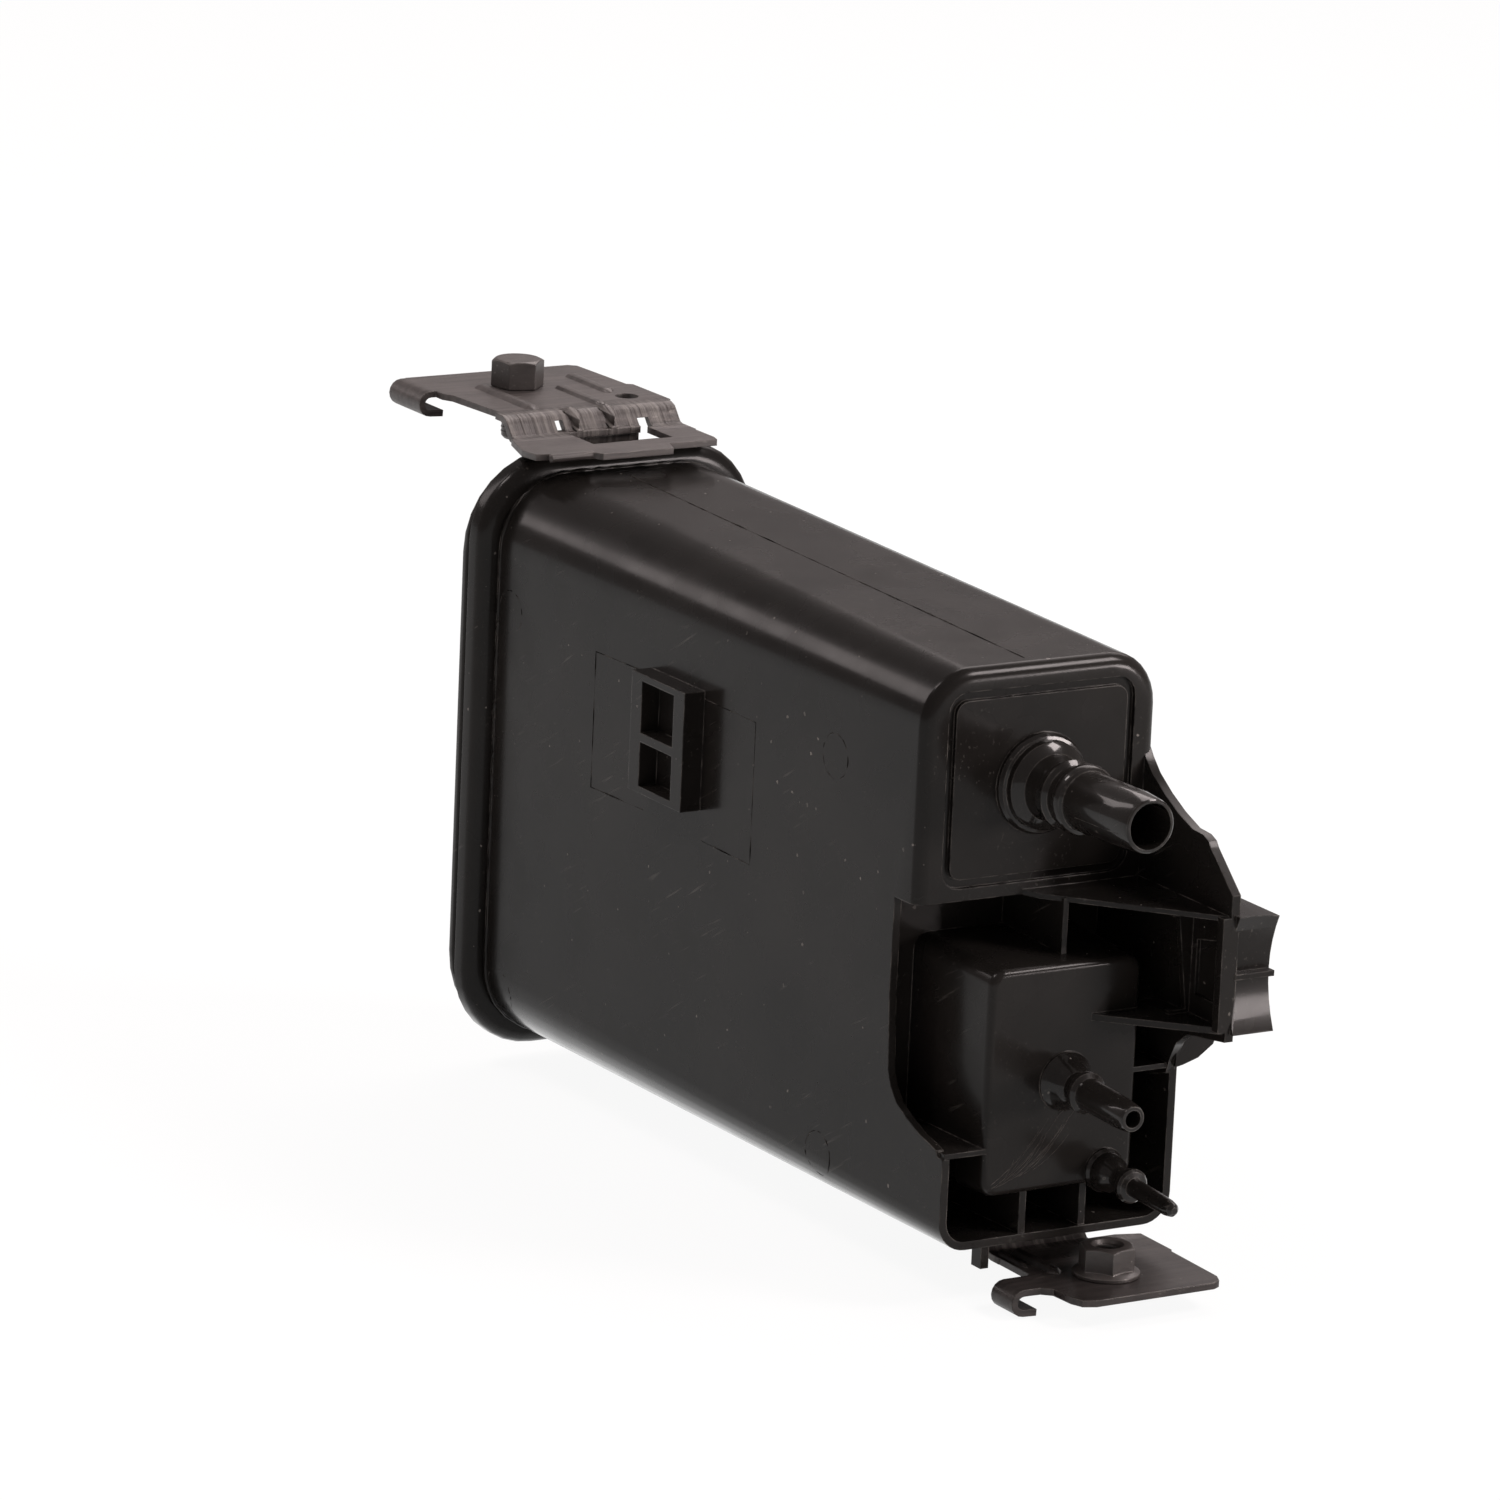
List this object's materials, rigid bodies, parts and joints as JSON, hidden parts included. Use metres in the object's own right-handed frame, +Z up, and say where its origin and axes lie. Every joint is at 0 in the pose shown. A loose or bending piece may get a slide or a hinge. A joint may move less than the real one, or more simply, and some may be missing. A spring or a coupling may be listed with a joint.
{
  "type": "charcoal canister",
  "caption": "Evaporative-emission charcoal canister: drafted moulded housing with hose ports and side bracket, welded end cover, and stamped steel hanging brackets.",
  "frame": {"origin": "centre of the end cover's outer flat face", "axes": "+X along the length towards the hose ports, +Y towards the side bracket, +Z up"},
  "size_m": [0.341, 0.0902, 0.1876],
  "materials": {
    "housing_plastic": "black moulded plastic, semi-gloss, fine grain, light scuffs",
    "cover_plastic": "black moulded plastic, semi-gloss",
    "carbon": "packed black pellets",
    "fleece": "pressed white fleece",
    "grid_plastic": "grey moulded plastic",
    "spring_steel": "drawn wire",
    "bracket_steel": "black coated sheet steel, satin",
    "fastener_steel": "dark zinc coated, satin"
  },
  "bodies": {
    "root": {"housing": "housing_plastic", "end_cover": "cover_plastic", "vent_carbon_bed": "carbon", "tank_carbon_bed": "carbon", "vent_port_fleece": "fleece", "tank_port_fleece": "fleece", "vent_lid_fleece": "fleece", "tank_lid_fleece": "fleece", "vent_grid": "grid_plastic", "tank_grid": "grid_plastic", "vent_pressure_plate": "grid_plastic", "tank_pressure_plate": "grid_plastic", "vent_spring": "spring_steel", "tank_spring_low": "spring_steel", "tank_spring_high": "spring_steel", "upper_bracket": "bracket_steel", "upper_bolt": "fastener_steel", "lower_bracket": "bracket_steel", "lower_nut": "fastener_steel"}
  },
  "joints": []
}
